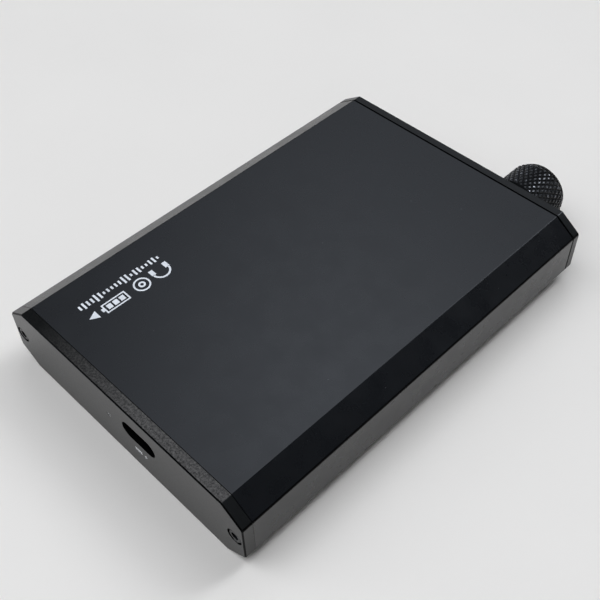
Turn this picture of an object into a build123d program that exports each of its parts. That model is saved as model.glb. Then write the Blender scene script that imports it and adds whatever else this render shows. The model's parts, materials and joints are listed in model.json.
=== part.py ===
from build123d import *
import os

# Pocket digital audio player, millimetres.
# It lies face down: the display side is the flat face at z = 0 and the plain back face is up.
# +X runs across the width, +Y from the charging end to the knob end, and the origin is the
# centre of the face it rests on.

# ---------------------------------------------------------------- driving dimensions: the shell
body_width = 65.0
body_height = 15.5
sleeve_length = 88.0
end_plate_thickness = 2.3
chamfer_run = 4.7              # how far each long chamfer cuts into the flat faces
chamfer_drop = 3.2             # how far it cuts down the sides
wall = 1.5
side_edge_radius = 0.7         # rounding where a chamfer meets a side
flat_edge_radius = 0.4         # rounding where a chamfer meets a flat face
plate_edge_bevel = 0.25        # around an end plate's outer face
sleeve_end_bevel = 0.05        # around both ends of the sleeve
usb_end_reveal = 0.08          # width of the fine groove left open between plate and sleeve
knob_end_reveal = 0.4
reveal_depth = 0.5

# ---------------------------------------------------------------- driving dimensions: end screws
screw_offset = 30.2            # from the centre plane to each end screw
screw_boss_radius = 2.2
screw_shank_radius = 0.95
screw_head_radius = 1.45
screw_head_height = 1.5
screw_hex_size = 1.6           # across the flats of the key socket
screw_hex_depth = 1.2
screw_reach = 6.0              # how far the thread goes into the sleeve
counterbore_radius = 1.7
counterbore_depth = 1.6
hole_gap = 0.05                # between a round piece and the hole it passes through

# ---------------------------------------------------------------- driving dimensions: the front
glass_width = 49.0
glass_length = 56.0
glass_y = 12.0
glass_thickness = 0.8
glass_corner_radius = 2.5
glass_gap = 0.1
glass_rim = 1.3                # the ledge that the glass is glued to
module_gap = 0.3
module_thickness = 1.95

button_row_y = -30.0
button_recess = 0.15           # a front button's face lies this far inside the front
button_gap = 0.1
button_flange = 0.8            # how much wider the hidden flange is, all round
button_flange_thickness = 0.6
front_buttons = {              # name: (x, radius)
    "play": (0.0, 5.0),
    "previous": (13.0, 3.6),
    "next": (-13.0, 3.6),
    "menu": (21.8, 2.3),
    "back": (-21.8, 2.3),
}
switch_size = 4.2
switch_height = 1.3
plunger_radius = 0.9
plunger_proud = 0.4            # how far a plunger stands out of its switch
plunger_length = 1.0

# ---------------------------------------------------------------- driving dimensions: power button
power_y = 20.0
power_length = 9.0
power_height = 3.2
power_proud = 0.25             # how far the power button stands out of the side
power_stem_radius = 1.3
power_plunger_radius = 1.6
power_plunger_proud = 0.9
power_plunger_length = 1.9
power_switch_inset = 1.6       # from the main board's edge
power_switch_depth = 3.4
power_switch_width = 6.0
power_switch_height = 6.9

# ---------------------------------------------------------------- driving dimensions: knob end
knob_x = 16.25
knob_radius = 6.7
knob_gap = 1.2                 # between the plate and the knob's base
knob_length = 9.5
knob_chamfer = 0.85
knob_chamfer_length = 1.8
knob_base_bevel = 0.3
knob_recess_radius = 5.6
knob_recess_depth = 1.3
shaft_radius = 3.0
shaft_flat = 2.5               # from the shaft's axis to its flat
shaft_flat_length = 6.0
shaft_cover = 1.6              # of the knob beyond the shaft's end
running_gap = 0.04
bushing_radius = 3.5
bushing_proud = 2.2
bushing_nut_size = 9.0         # across its flats
bushing_nut_thickness = 1.5
washer_radius = 5.2
washer_thickness = 0.3
control_width = 9.8
control_length = 7.0
rotor_radius = 3.4
rotor_thickness = 2.4
shaft_tail_radius = 1.6        # the shaft is thinner inside the control, where the rotor sits
track_thickness = 0.9
wiper_gap = 0.3                # between the resistive track and the rotor
set_screw_radius = 1.25
set_screw_length = 3.2
set_screw_from_base = 5.0
set_screw_hex_size = 1.3

jack_x = {"headphone": 1.5, "line_out": -9.5}
plug_radius = 1.8              # the bore that takes a 3.5 mm plug
plug_depth = 14.3
jack_width = 6.8
jack_low_z = 4.6
jack_length = 13.0
jack_barrel_radius = 2.6
jack_proud = 0.2
trim_ring_radius = 3.7
trim_ring_depth = 0.6
contact_width = 1.2
contact_ys = (34.5, 38.0, 41.5)

card_x = -21.0
card_z = 10.5
card_width = 11.0
card_length = 15.0
card_thickness = 0.7
card_proud = 0.3
card_gap = 0.15
card_push = 1.0                # room behind the card for the push that releases it
card_step_width = 1.2          # the narrower part of the card, at its inner end
card_step_length = 6.4
card_lip_length = 1.4
card_lip_depth = 0.25
cage_wall = 0.3

# ---------------------------------------------------------------- driving dimensions: charging end
usb_x = 5.8
usb_z = 9.85
usb_opening_width = 9.05
usb_opening_height = 3.95
usb_width = 8.94
usb_height = 3.26
usb_length = 7.3
usb_skin = 0.3
tongue_width = 6.7
tongue_thickness = 0.7
tongue_length = 4.9
usb_seat_thickness = 1.5       # the moulded block that carries the tongue
usb_into_plate = 0.2           # how far the shell reaches into the end plate
light_x = -2.9
light_z = 8.7
light_radius = 0.5
light_riser_width = 1.2

# ---------------------------------------------------------------- driving dimensions: inside
board_thickness = 1.2
board_low_z = 11.5             # the main board's component side, which faces the front
board_half_width = 28.9
board_half_length = 43.6
ledge_width = 3.6
ledge_thickness = 0.9
frame_low_z = 3.5
frame_floor = 0.8
frame_half_width = 30.1
frame_half_length = 43.7
frame_middle_half_width = 27.6 # narrow enough to pass between the screw bosses
frame_rail_width = 1.0
frame_rail_top_z = 5.2
platform_low_z = 5.0           # underside of the raised part that carries the button board
platform_end_y = -19.0
tray_end_y = 30.3
button_board_thickness = 0.8
button_board_length = 19.0
battery_half_width = 23.6
battery_low_y = -12.0
battery_high_y = 29.0
battery_thickness = 3.5
tape_thickness = 0.2
tape_width = 10.0
tape_length = 34.0
tape_x = 14.0
battery_flap_length = 2.5
battery_flap_thickness = 0.4
protection_x = 6.0
protection_length = 16.0
foam_width = 40.0
foam_length = 38.0
foam_strip = 3.0
wire_radius = 0.45
wire_bend_radius = 0.9
wire_runs = ((14.2, 10.7, 8.0), (15.8, 9.4, 10.4))     # x and z at the plug, x at the battery
battery_plug_x = 15.0
battery_plug_width = 5.0
battery_plug_length = 2.5
battery_plug_low_z = 8.8
battery_plug_height = 2.5
battery_socket_length = 4.5
connector_wall = 0.5
flex_thickness = 0.2
display_cable_x = -6.0
display_cable_width = 8.0
button_cable_x = -18.0
button_cable_width = 5.0

# ---------------------------------------------------------------- driving dimensions: board parts
shield_at = (-14.0, -31.0)
shield_size = (22.0, 15.0, 2.0)
shield_sheet = 0.2
board_parts = {                # name: (size in x, y and z), then the middle of each one's outline
    "processor": ((11.0, 11.0, 1.1), (-18.0, -31.0)),
    "memory_chip": ((8.0, 11.0, 0.9), (-7.5, -31.0)),
    "converter_chip": ((7.0, 7.0, 0.9), (-6.0, 3.0)),
    "amplifier_chips": ((5.0, 4.0, 1.6), (-11.0, 15.0), (3.0, 15.0)),
    "audio_capacitors": ((7.3, 4.3, 2.8), (-19.0, 6.0), (-19.0, 15.0), (11.0, 6.0), (11.0, 15.0)),
    "power_inductor": ((5.0, 5.0, 2.0), (18.0, -34.0)),
    "clock_crystals": ((3.2, 2.5, 0.8), (6.0, -27.0), (6.0, -22.5)),
    "status_light": ((1.6, 0.8, 0.6), (light_x, -42.6)),
}

# ---------------------------------------------------------------- sizes that follow from these
half_width = body_width / 2
half_sleeve = sleeve_length / 2
half_body = half_sleeve + end_plate_thickness
mid_height = body_height / 2
beyond = half_body + 1         # a length that ends outside the shell, for cuts that pass through
board_top_z = board_low_z + board_thickness
knob_base_y = half_body + knob_gap
knob_end_y = knob_base_y + knob_length
module_top_z = glass_thickness + module_thickness
button_board_low_z = platform_low_z - button_board_thickness
switch_low_z = button_board_low_z - switch_height
plunger_low_z = switch_low_z - plunger_proud
battery_low_z = frame_low_z + frame_floor + tape_thickness
battery_top_z = battery_low_z + battery_thickness
power_switch_x = -board_half_width + power_switch_inset
power_plunger_x = power_switch_x - power_plunger_proud
control_back_y = half_sleeve - control_length
rotor_y = control_back_y + track_thickness + wiper_gap
shaft_shoulder_y = rotor_y + rotor_thickness + 0.1
shaft_end_y = knob_end_y - shaft_cover
set_screw_y = knob_base_y + set_screw_from_base
usb_mouth_y = -half_sleeve - usb_into_plate


# ---------------------------------------------------------------- shared shapes
def along_y(sketch, y_low, y_high):
    """A sketch drawn as (x, z), extruded from y_low to y_high."""
    plane = Plane(origin=(0, y_high, 0), x_dir=(1, 0, 0), z_dir=(0, -1, 0))
    return extrude(plane * sketch, amount=y_high - y_low)


def along_x(sketch, x_low, x_high):
    """A sketch drawn as (y, z), extruded from x_low to x_high."""
    plane = Plane(origin=(x_low, 0, 0), x_dir=(0, 1, 0), z_dir=(1, 0, 0))
    return extrude(plane * sketch, amount=x_high - x_low)


def along_z(sketch, z_low, z_high):
    """A sketch drawn as (x, y), extruded from z_low to z_high."""
    return extrude(Pos(0, 0, z_low) * sketch, amount=z_high - z_low)


def block(x, y, z):
    """A box between the (low, high) pairs x, y and z."""
    size = [high - low for low, high in (x, y, z)]
    middle = [(high + low) / 2 for low, high in (x, y, z)]
    return Pos(*middle) * Box(*size)


def around(middle, size):
    """The (low, high) pair of a size about its middle."""
    return (middle - size / 2, middle + size / 2)


def rod_y(x, z, radius, y_low, y_high):
    return along_y(Pos(x, z) * Circle(radius), y_low, y_high)


def rod_z(x, y, radius, z_low, z_high):
    return along_z(Pos(x, y) * Circle(radius), z_low, z_high)


def under_board(at, size, corner):
    """A box with rounded upright edges on the main board's underside."""
    width, length, height = size
    outline = Pos(*at) * RectangleRounded(width, length, corner)
    return along_z(outline, board_low_z - height, board_low_z)


def edges_at_y(shape, y):
    return shape.edges().filter_by_position(Axis.Y, y - 0.001, y + 0.001)


def shell_outline():
    """The octagonal cross-section as (x, z), with its corners a little rounded."""
    flat = half_width - chamfer_run
    low = chamfer_drop
    high = body_height - chamfer_drop
    outline = Polygon(
        (-flat, 0), (flat, 0), (half_width, low), (half_width, high),
        (flat, body_height), (-flat, body_height), (-half_width, high), (-half_width, low),
        align=None)
    side_corners = [v for v in outline.vertices() if abs(v.X) > half_width - 0.01]
    outline = fillet(side_corners, side_edge_radius)
    flat_corners = [v for v in outline.vertices() if abs(abs(v.X) - flat) < 0.01]
    return fillet(flat_corners, flat_edge_radius)


# ---------------------------------------------------------------- sleeve and end plates
def sleeve_section():
    """The extrusion's profile: the wall, a screw boss in each side and a ledge for the board."""
    outline = shell_outline()
    cavity = offset(outline, amount=-wall, kind=Kind.INTERSECTION)
    ledge_x = half_width - wall - ledge_width / 2 + 0.1
    ledge_z = board_low_z - hole_gap - ledge_thickness / 2
    for side in (-1, 1):
        cavity -= Pos(side * screw_offset, mid_height) * Circle(screw_boss_radius)
        cavity -= Pos(side * ledge_x, ledge_z) * Rectangle(ledge_width, ledge_thickness)
    return outline, cavity


def power_button_cut():
    """The slot in the side wall, and the pocket behind it that clears the flange and the stem."""
    slot = Pos(power_y, mid_height) * SlotOverall(
        power_length + 2 * button_gap, power_height + 2 * button_gap)
    room = 2 * (button_flange + 0.3)
    inner_x = -half_width + wall
    pocket = block((inner_x, inner_x + 4), around(power_y, power_length + room),
                   around(mid_height, power_height + room))
    return along_x(slot, -half_width - 1, inner_x + 0.1) + pocket


def sleeve():
    outline, cavity = sleeve_section()
    tube = along_y(outline, -half_sleeve, half_sleeve)
    tube = chamfer(edges_at_y(tube, half_sleeve) + edges_at_y(tube, -half_sleeve), sleeve_end_bevel)
    tube -= along_y(cavity, -beyond, beyond)
    for side in (-1, 1):
        tube -= rod_y(side * screw_offset, mid_height, screw_shank_radius + hole_gap, -beyond, beyond)
    pocket = RectangleRounded(
        glass_width + 2 * glass_gap, glass_length + 2 * glass_gap, glass_corner_radius)
    window = Rectangle(glass_width - 2 * glass_rim, glass_length - 2 * glass_rim)
    tube -= along_z(Pos(0, glass_y) * pocket, -1, glass_thickness)
    tube -= along_z(Pos(0, glass_y) * window, 0, wall + 0.1)
    for x, radius in front_buttons.values():
        tube -= rod_z(x, button_row_y, radius + button_gap, -1, wall + 0.1)
    return tube - power_button_cut()


def blank_end_plate(outward, reveal):
    """The plate at the end that lies in the direction outward (-1 or 1), with its screw seats.

    Around its edge it stops short of the sleeve by reveal, which shows as a fine dark line.
    """
    inner = outward * half_sleeve
    outer = outward * half_body
    outline = shell_outline()
    plate = along_y(outline, *sorted((inner, outer)))
    plate = chamfer(edges_at_y(plate, outer), plate_edge_bevel)
    rim = outline - offset(outline, amount=-reveal_depth, kind=Kind.INTERSECTION)
    plate -= along_y(rim, *sorted((inner, inner + outward * reveal)))
    low, high = sorted((outer - outward * counterbore_depth, outward * beyond))
    for side in (-1, 1):
        x = side * screw_offset
        plate -= rod_y(x, mid_height, screw_shank_radius + hole_gap, -beyond, beyond)
        plate -= rod_y(x, mid_height, counterbore_radius, low, high)
    return plate


def usb_end_plate():
    plate = blank_end_plate(-1, usb_end_reveal)
    opening = Pos(usb_x, usb_z) * SlotOverall(usb_opening_width, usb_opening_height)
    plate -= along_y(opening, -beyond, 0)
    return plate - rod_y(light_x, light_z, light_radius + 0.02, -beyond, 0)


def knob_end_plate():
    plate = blank_end_plate(1, knob_end_reveal)
    plate -= rod_y(knob_x, mid_height, bushing_radius + button_gap, 0, beyond)
    for x in jack_x.values():
        plate -= rod_y(x, mid_height, jack_barrel_radius + hole_gap, 0, beyond)
        plate -= rod_y(x, mid_height, trim_ring_radius + 0.02, half_body - trim_ring_depth, beyond)
    slot = Pos(card_x, card_z) * RectangleRounded(card_width + 0.8, card_thickness + 0.9, 0.5)
    return plate - along_y(slot, 0, beyond)


def end_screws(outward):
    """Both socket-head screws of one end, their heads just inside the plate's face."""
    head_seat = outward * (half_body - counterbore_depth)
    head_top = head_seat + outward * screw_head_height
    tip = outward * (half_sleeve - screw_reach)
    key = along_y(Pos(screw_offset, mid_height) * RegularPolygon(
        screw_hex_size / 2, 6, major_radius=False),
        *sorted((head_top - outward * screw_hex_depth, head_top + outward)))
    head = rod_y(screw_offset, mid_height, screw_head_radius, *sorted((head_seat, head_top)))
    head = chamfer(edges_at_y(head, head_top), 0.15)
    shank = rod_y(screw_offset, mid_height, screw_shank_radius, *sorted((head_seat, tip)))
    screw = head + shank - key
    return [screw, mirror(screw, about=Plane.YZ)]


# ---------------------------------------------------------------- display
def display_glass():
    outline = Pos(0, glass_y) * RectangleRounded(
        glass_width, glass_length, glass_corner_radius - glass_gap)
    return along_z(outline, 0, glass_thickness)


def display_module():
    inset = 2 * (glass_rim + module_gap)
    outline = Pos(0, glass_y) * RectangleRounded(glass_width - inset, glass_length - inset, 0.6)
    return along_z(outline, glass_thickness, module_top_z)


def display_foam():
    """The soft frame between the display module and the inner frame."""
    middle_y = (battery_low_y + battery_high_y) / 2
    outline = Pos(0, middle_y) * RectangleRounded(foam_width, foam_length, 2)
    hole = Pos(0, middle_y) * RectangleRounded(
        foam_width - 2 * foam_strip, foam_length - 2 * foam_strip, 1)
    return along_z(outline - hole, module_top_z, frame_low_z)


def display_cable():
    """Runs from the back of the display, past the battery's end, up to the main board."""
    x = around(display_cable_x, display_cable_width)
    y = platform_end_y + 1.8
    upright = block(x, (y, y + flex_thickness), (module_top_z, board_low_z))
    lower = block(x, (y, y + 5), (module_top_z, module_top_z + flex_thickness))
    upper = block(x, (y - 4, y), (board_low_z - flex_thickness, board_low_z))
    return upright + lower + upper


def button_cable():
    """Runs from the button board's inner edge up to the main board."""
    x = around(button_cable_x, button_cable_width)
    y = platform_end_y + 1.6
    board_edge_y = button_row_y + button_board_length / 2
    low_z = button_board_low_z - flex_thickness
    upright = block(x, (y, y + flex_thickness), (low_z, board_low_z))
    lower = block(x, (board_edge_y - 2.5, y), (low_z, button_board_low_z))
    upper = block(x, (y, y + 3), (board_low_z - flex_thickness, board_low_z))
    return upright + lower + upper


# ---------------------------------------------------------------- front buttons
def front_button(name):
    """A round cap in the front wall, a wider flange behind the wall, and a nub on the switch."""
    x, radius = front_buttons[name]
    cap = rod_z(x, button_row_y, radius, button_recess, wall)
    face = cap.edges().filter_by_position(Axis.Z, button_recess - 0.01, button_recess + 0.01)
    cap = fillet(face, 0.25)
    flange = rod_z(x, button_row_y, radius + button_flange, wall, wall + button_flange_thickness)
    nub = rod_z(x, button_row_y, plunger_radius + 0.3, wall, plunger_low_z)
    return cap + flange + nub


def switch_plunger(name):
    x = front_buttons[name][0]
    return rod_z(x, button_row_y, plunger_radius, plunger_low_z, plunger_low_z + plunger_length)


def button_switches():
    """The five switch housings, each hollow so that its plunger can sink in."""
    housings = []
    for x, _ in front_buttons.values():
        outline = Pos(x, button_row_y) * RectangleRounded(switch_size, switch_size, 0.4)
        housing = along_z(outline, switch_low_z, button_board_low_z)
        housings.append(housing - rod_z(x, button_row_y, plunger_radius + hole_gap,
                                        switch_low_z - 1, button_board_low_z - 0.3))
    return housings


def button_board():
    outline = RectangleRounded(52, button_board_length, 1.5)
    return along_z(Pos(0, button_row_y) * outline, button_board_low_z, platform_low_z)


# ---------------------------------------------------------------- power button
def power_button():
    """A long cap through the side wall, its flange inside, and a stem that meets the switch."""
    inner_x = -half_width + wall
    cap = along_x(Pos(power_y, mid_height) * SlotOverall(power_length, power_height),
                  -half_width - power_proud, inner_x)
    cap = fillet(cap.edges().filter_by_position(Axis.X, -beyond, -half_width - power_proud + 0.01), 0.2)
    flange = along_x(Pos(power_y, mid_height) * SlotOverall(
        power_length + 2 * button_flange, power_height + 2 * button_flange),
        inner_x, inner_x + button_flange_thickness)
    stem = along_x(Pos(power_y, mid_height) * Circle(power_stem_radius), inner_x, power_plunger_x)
    return cap + flange + stem


def power_switch_plunger():
    outline = Pos(power_y, mid_height) * Circle(power_plunger_radius)
    return along_x(outline, power_plunger_x, power_plunger_x + power_plunger_length)


def power_switch():
    housing = block((power_switch_x, power_switch_x + power_switch_depth),
                    around(power_y, power_switch_width),
                    (board_low_z - power_switch_height, board_low_z))
    room = Pos(power_y, mid_height) * Circle(power_plunger_radius + hole_gap)
    return housing - along_x(room, power_switch_x - 1, power_switch_x + 1.6)


# ---------------------------------------------------------------- volume control
def volume_knob():
    """A turned knob: plain in the solid, hollow underneath to clear the nut."""
    profile = Polygon(
        (0, knob_base_y), (knob_radius - knob_base_bevel, knob_base_y),
        (knob_radius, knob_base_y + knob_base_bevel),
        (knob_radius, knob_end_y - knob_chamfer_length), (knob_radius - knob_chamfer, knob_end_y),
        (0, knob_end_y), align=None)
    knob = Pos(knob_x, 0, mid_height) * revolve(profile, Axis.Y)
    knob -= rod_y(knob_x, mid_height, knob_recess_radius, knob_base_y - 1,
                  knob_base_y + knob_recess_depth)
    knob -= rod_y(knob_x, mid_height, shaft_radius, knob_base_y, shaft_end_y + 0.2)
    hole = rod_z(knob_x, set_screw_y, set_screw_radius, -1, mid_height)
    return knob - hole


def knob_set_screw():
    """A headless screw below the axis, pressing on the shaft's flat."""
    top_z = mid_height - shaft_flat
    low_z = top_z - set_screw_length
    screw = rod_z(knob_x, set_screw_y, set_screw_radius, low_z, top_z)
    hexagon = Pos(knob_x, set_screw_y) * RegularPolygon(set_screw_hex_size / 2, 6, major_radius=False)
    return screw - along_z(hexagon, low_z - 1, low_z + set_screw_length / 3)


def volume_shaft():
    """A shaft with a flat for the set screw, and a thinner tail inside the control."""
    shaft = rod_y(knob_x, mid_height, shaft_radius, shaft_shoulder_y, shaft_end_y)
    shaft = chamfer(edges_at_y(shaft, shaft_end_y), 0.3)
    shaft += rod_y(knob_x, mid_height, shaft_tail_radius, rotor_y, shaft_shoulder_y)
    flat = block(around(knob_x, 2 * shaft_radius), (shaft_end_y - shaft_flat_length, shaft_end_y + 1),
                 (mid_height - 2 * shaft_radius, mid_height - shaft_flat))
    return shaft - flat


def volume_rotor():
    """The disc with the wiper, fixed on the shaft's tail inside the control."""
    disc = rod_y(knob_x, mid_height, rotor_radius, rotor_y, rotor_y + rotor_thickness)
    return disc - rod_y(knob_x, mid_height, shaft_tail_radius, 0, beyond)


def volume_housing():
    """The control's body, hollow for the rotor, with its threaded bushing through the plate."""
    body = block(around(knob_x, control_width), (control_back_y, half_sleeve),
                 (mid_height - 4.1, board_low_z))
    bushing = rod_y(knob_x, mid_height, bushing_radius, half_sleeve, half_body + bushing_proud)
    room = rod_y(knob_x, mid_height, rotor_radius + 0.1, control_back_y - 1, shaft_shoulder_y)
    bore = rod_y(knob_x, mid_height, shaft_radius + running_gap, control_back_y, knob_end_y)
    return body + bushing - room - bore


def volume_track():
    """The disc with the resistive track, which closes the control's back."""
    return rod_y(knob_x, mid_height, rotor_radius + 0.1, control_back_y,
                 control_back_y + track_thickness)


def bushing_washer():
    washer = rod_y(knob_x, mid_height, washer_radius, half_body, half_body + washer_thickness)
    return washer - rod_y(knob_x, mid_height, bushing_radius + hole_gap, 0, knob_end_y)


def bushing_nut():
    start_y = half_body + washer_thickness
    hexagon = Pos(knob_x, mid_height) * RegularPolygon(bushing_nut_size / 2, 6, major_radius=False)
    nut = along_y(hexagon, start_y, start_y + bushing_nut_thickness)
    return nut - rod_y(knob_x, mid_height, bushing_radius, 0, knob_end_y)


# ---------------------------------------------------------------- jacks and memory card
def jack(name):
    """A socket body under the main board, with a barrel through the plate and a blind bore."""
    x = jack_x[name]
    mouth_y = half_body + jack_proud
    body = block(around(x, jack_width), (half_sleeve - jack_length, half_sleeve),
                 (jack_low_z, board_low_z))
    body += rod_y(x, mid_height, jack_barrel_radius, half_sleeve, mouth_y)
    body -= rod_y(x, mid_height, plug_radius, mouth_y - plug_depth, mouth_y + 1)
    for y in contact_ys:
        body -= block(around(x, contact_width + 0.1), around(y, contact_width + 0.1),
                      (jack_low_z - 1, mid_height - plug_radius + 0.3))
    return body


def jack_contacts():
    """Three contacts under each bore, their rounded tips just clear of the plug."""
    tip_radius = contact_width / 2
    tip_z = mid_height - plug_radius - hole_gap - tip_radius
    contacts = []
    for x in jack_x.values():
        for y in contact_ys:
            foot = block(around(x, contact_width), around(y, contact_width), (jack_low_z, tip_z))
            tip = along_x(Pos(y, tip_z) * Circle(tip_radius), *around(x, contact_width))
            contacts.append(foot + tip)
    return contacts


def jack_trim_rings():
    rings = []
    for x in jack_x.values():
        face_y = half_body + jack_proud
        ring = rod_y(x, mid_height, trim_ring_radius, half_body - trim_ring_depth, face_y)
        ring = chamfer(edges_at_y(ring, face_y), 0.15)
        rings.append(ring - rod_y(x, mid_height, jack_barrel_radius, 0, beyond))
    return rings


def card_profile(extra):
    return Pos(card_x, card_z) * Rectangle(card_width + extra, card_thickness + extra)


def memory_card():
    """A small card, narrower along part of one edge, with a thicker lip to pull it by."""
    end_y = half_body + card_proud
    card = along_y(card_profile(0), end_y - card_length, end_y)
    inner_y = end_y - card_length
    step = block((card_x + card_width / 2 - card_step_width, card_x + card_width),
                 (inner_y - 1, inner_y + card_step_length), (0, body_height))
    lip = block(around(card_x, card_width - 2), (end_y - card_lip_length, end_y),
                (card_z - card_thickness / 2 - card_lip_depth, card_z))
    return card - step + lip


def card_socket():
    """A folded metal cage, open towards the plate, that the card slides in."""
    inner_y = half_body + card_proud - card_length - card_push
    room = card_profile(2 * card_gap)
    cage = block(around(card_x, card_width + 4 * cage_wall), (inner_y - cage_wall, half_sleeve),
                 (card_z - card_thickness / 2 - card_gap - cage_wall, board_low_z))
    return cage - along_y(room, inner_y, half_sleeve + 1)


# ---------------------------------------------------------------- charging port and status light
def usb_shell():
    outer = Pos(usb_x, usb_z) * SlotOverall(usb_width, usb_height)
    inner = Pos(usb_x, usb_z) * SlotOverall(usb_width - 2 * usb_skin, usb_height - 2 * usb_skin)
    back_y = usb_mouth_y + usb_length
    return along_y(outer, usb_mouth_y, back_y) - along_y(inner, usb_mouth_y - 1, back_y - usb_skin)


def usb_insert():
    """The moulded block at the back of the port, and the tongue that stands out of it."""
    back_y = usb_mouth_y + usb_length - usb_skin
    tongue_start = back_y - usb_seat_thickness
    seat = Pos(usb_x, usb_z) * SlotOverall(usb_width - 2 * usb_skin, usb_height - 2 * usb_skin)
    tongue = block(around(usb_x, tongue_width), (tongue_start - tongue_length, tongue_start),
                   around(usb_z, tongue_thickness))
    return along_y(seat, tongue_start, back_y) + tongue


def light_pipe():
    """A clear rod from the plate's face that turns up to the status light."""
    bend_y = -half_sleeve + 2.0
    rod = rod_y(light_x, light_z, light_radius, -half_body + 0.05, bend_y)
    light_low_z = board_low_z - board_parts["status_light"][0][2]
    riser = block(around(light_x, light_riser_width), (bend_y - light_riser_width, bend_y),
                  (light_z - light_radius, light_low_z))
    return rod + riser


# ---------------------------------------------------------------- inner frame and battery
def inner_frame():
    """A moulded tray for the battery, a raised platform for the buttons, and two side rails."""
    rail_inner_x = frame_half_width - frame_rail_width
    middle = (-frame_middle_half_width, frame_middle_half_width)
    platform_y = (-frame_half_length, platform_end_y)
    platform_z = (platform_low_z, platform_low_z + frame_floor)
    frame = block((-rail_inner_x, rail_inner_x), (platform_end_y, tray_end_y),
                  (frame_low_z, frame_low_z + frame_floor))
    frame += block(middle, (tray_end_y - frame_floor, tray_end_y), (frame_low_z, battery_top_z))
    frame += block(middle, platform_y, platform_z)
    frame += block(middle, (platform_end_y - frame_floor, platform_end_y),
                   (frame_low_z, platform_low_z + frame_floor))
    for side in (-1, 1):
        rail_x = sorted((side * rail_inner_x, side * frame_half_width))
        frame += block(rail_x, (-frame_half_length, frame_half_length),
                       (frame_low_z + 0.2, frame_rail_top_z))
        web_x = sorted((side * frame_middle_half_width, side * rail_inner_x))
        frame += block(web_x, platform_y, (frame_rail_top_z - 0.6, frame_rail_top_z))
    display_slot = around(display_cable_x, display_cable_width + 1)
    button_slot = around(button_cable_x, button_cable_width + 1)
    frame -= block(display_slot, (platform_end_y + 1, platform_end_y + 3), (0, platform_low_z))
    frame -= block(button_slot, (platform_end_y - 1, platform_end_y + 3), (0, platform_low_z))
    return frame


def battery():
    """A soft pouch cell with rounded long edges and a thin sealed flap at one end."""
    pouch = block((-battery_half_width, battery_half_width), (battery_low_y, battery_high_y),
                  (battery_low_z, battery_top_z))
    pouch = fillet(pouch.edges().filter_by(Axis.Y), 1.2)
    flap_z = battery_low_z + 1.4
    flap = block((-battery_half_width + 1, battery_half_width - 1),
                 (battery_low_y - battery_flap_length, battery_low_y),
                 (flap_z, flap_z + battery_flap_thickness))
    return pouch + flap


def battery_tape():
    middle_y = (battery_low_y + battery_high_y) / 2
    strips = []
    for x in (-tape_x, tape_x):
        outline = Pos(x, middle_y) * RectangleRounded(tape_width, tape_length, 0.8)
        strips.append(along_z(outline, battery_low_z - tape_thickness, battery_low_z))
    return strips


def protection_board():
    """A narrow board that lies on the battery's flap."""
    low_z = battery_low_z + 1.4 + battery_flap_thickness
    return block(around(protection_x, protection_length),
                 (battery_low_y - battery_flap_length + 0.1, battery_low_y - 0.1),
                 (low_z, low_z + button_board_thickness))


def battery_wire(plug_x, plug_z, board_x):
    """One wire: out of the plug, across above the battery's flap, and down to its board."""
    lane_y = battery_low_y - 1.3
    end_z = battery_low_z + 2.6
    corners = [(plug_x, platform_end_y + 2.5, plug_z), (plug_x, lane_y, plug_z),
               (board_x, lane_y, plug_z), (board_x, lane_y, end_z)]
    path = FilletPolyline(*corners, radius=wire_bend_radius)
    return sweep(Plane(origin=corners[0], z_dir=(0, 1, 0)) * Circle(wire_radius), path=path)


def battery_wires():
    return [battery_wire(*run) for run in wire_runs]


def battery_plug():
    return block(around(battery_plug_x, battery_plug_width),
                 (platform_end_y, platform_end_y + battery_plug_length),
                 (battery_plug_low_z, battery_plug_low_z + battery_plug_height))


def battery_socket():
    return block(around(battery_plug_x, battery_plug_width + 2 * connector_wall),
                 (platform_end_y - battery_socket_length, platform_end_y),
                 (battery_plug_low_z - 0.2, board_low_z))


# ---------------------------------------------------------------- main board and its parts
def main_board():
    outline = RectangleRounded(2 * board_half_width, 2 * board_half_length, 1.0)
    return along_z(outline, board_low_z, board_top_z)


def shield_can():
    """A pressed lid, open towards the board, over the processor and memory."""
    width, length, height = shield_size
    room = (width - 2 * shield_sheet, length - 2 * shield_sheet, height - shield_sheet)
    return under_board(shield_at, shield_size, 0.8) - under_board(shield_at, room, 0.6)


def board_part(name):
    """A board component, or the list of all of one kind."""
    size, *places = board_parts[name]
    solids = [under_board(at, size, 0.1 * min(size[:2])) for at in places]
    return solids if len(solids) > 1 else solids[0]


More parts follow.
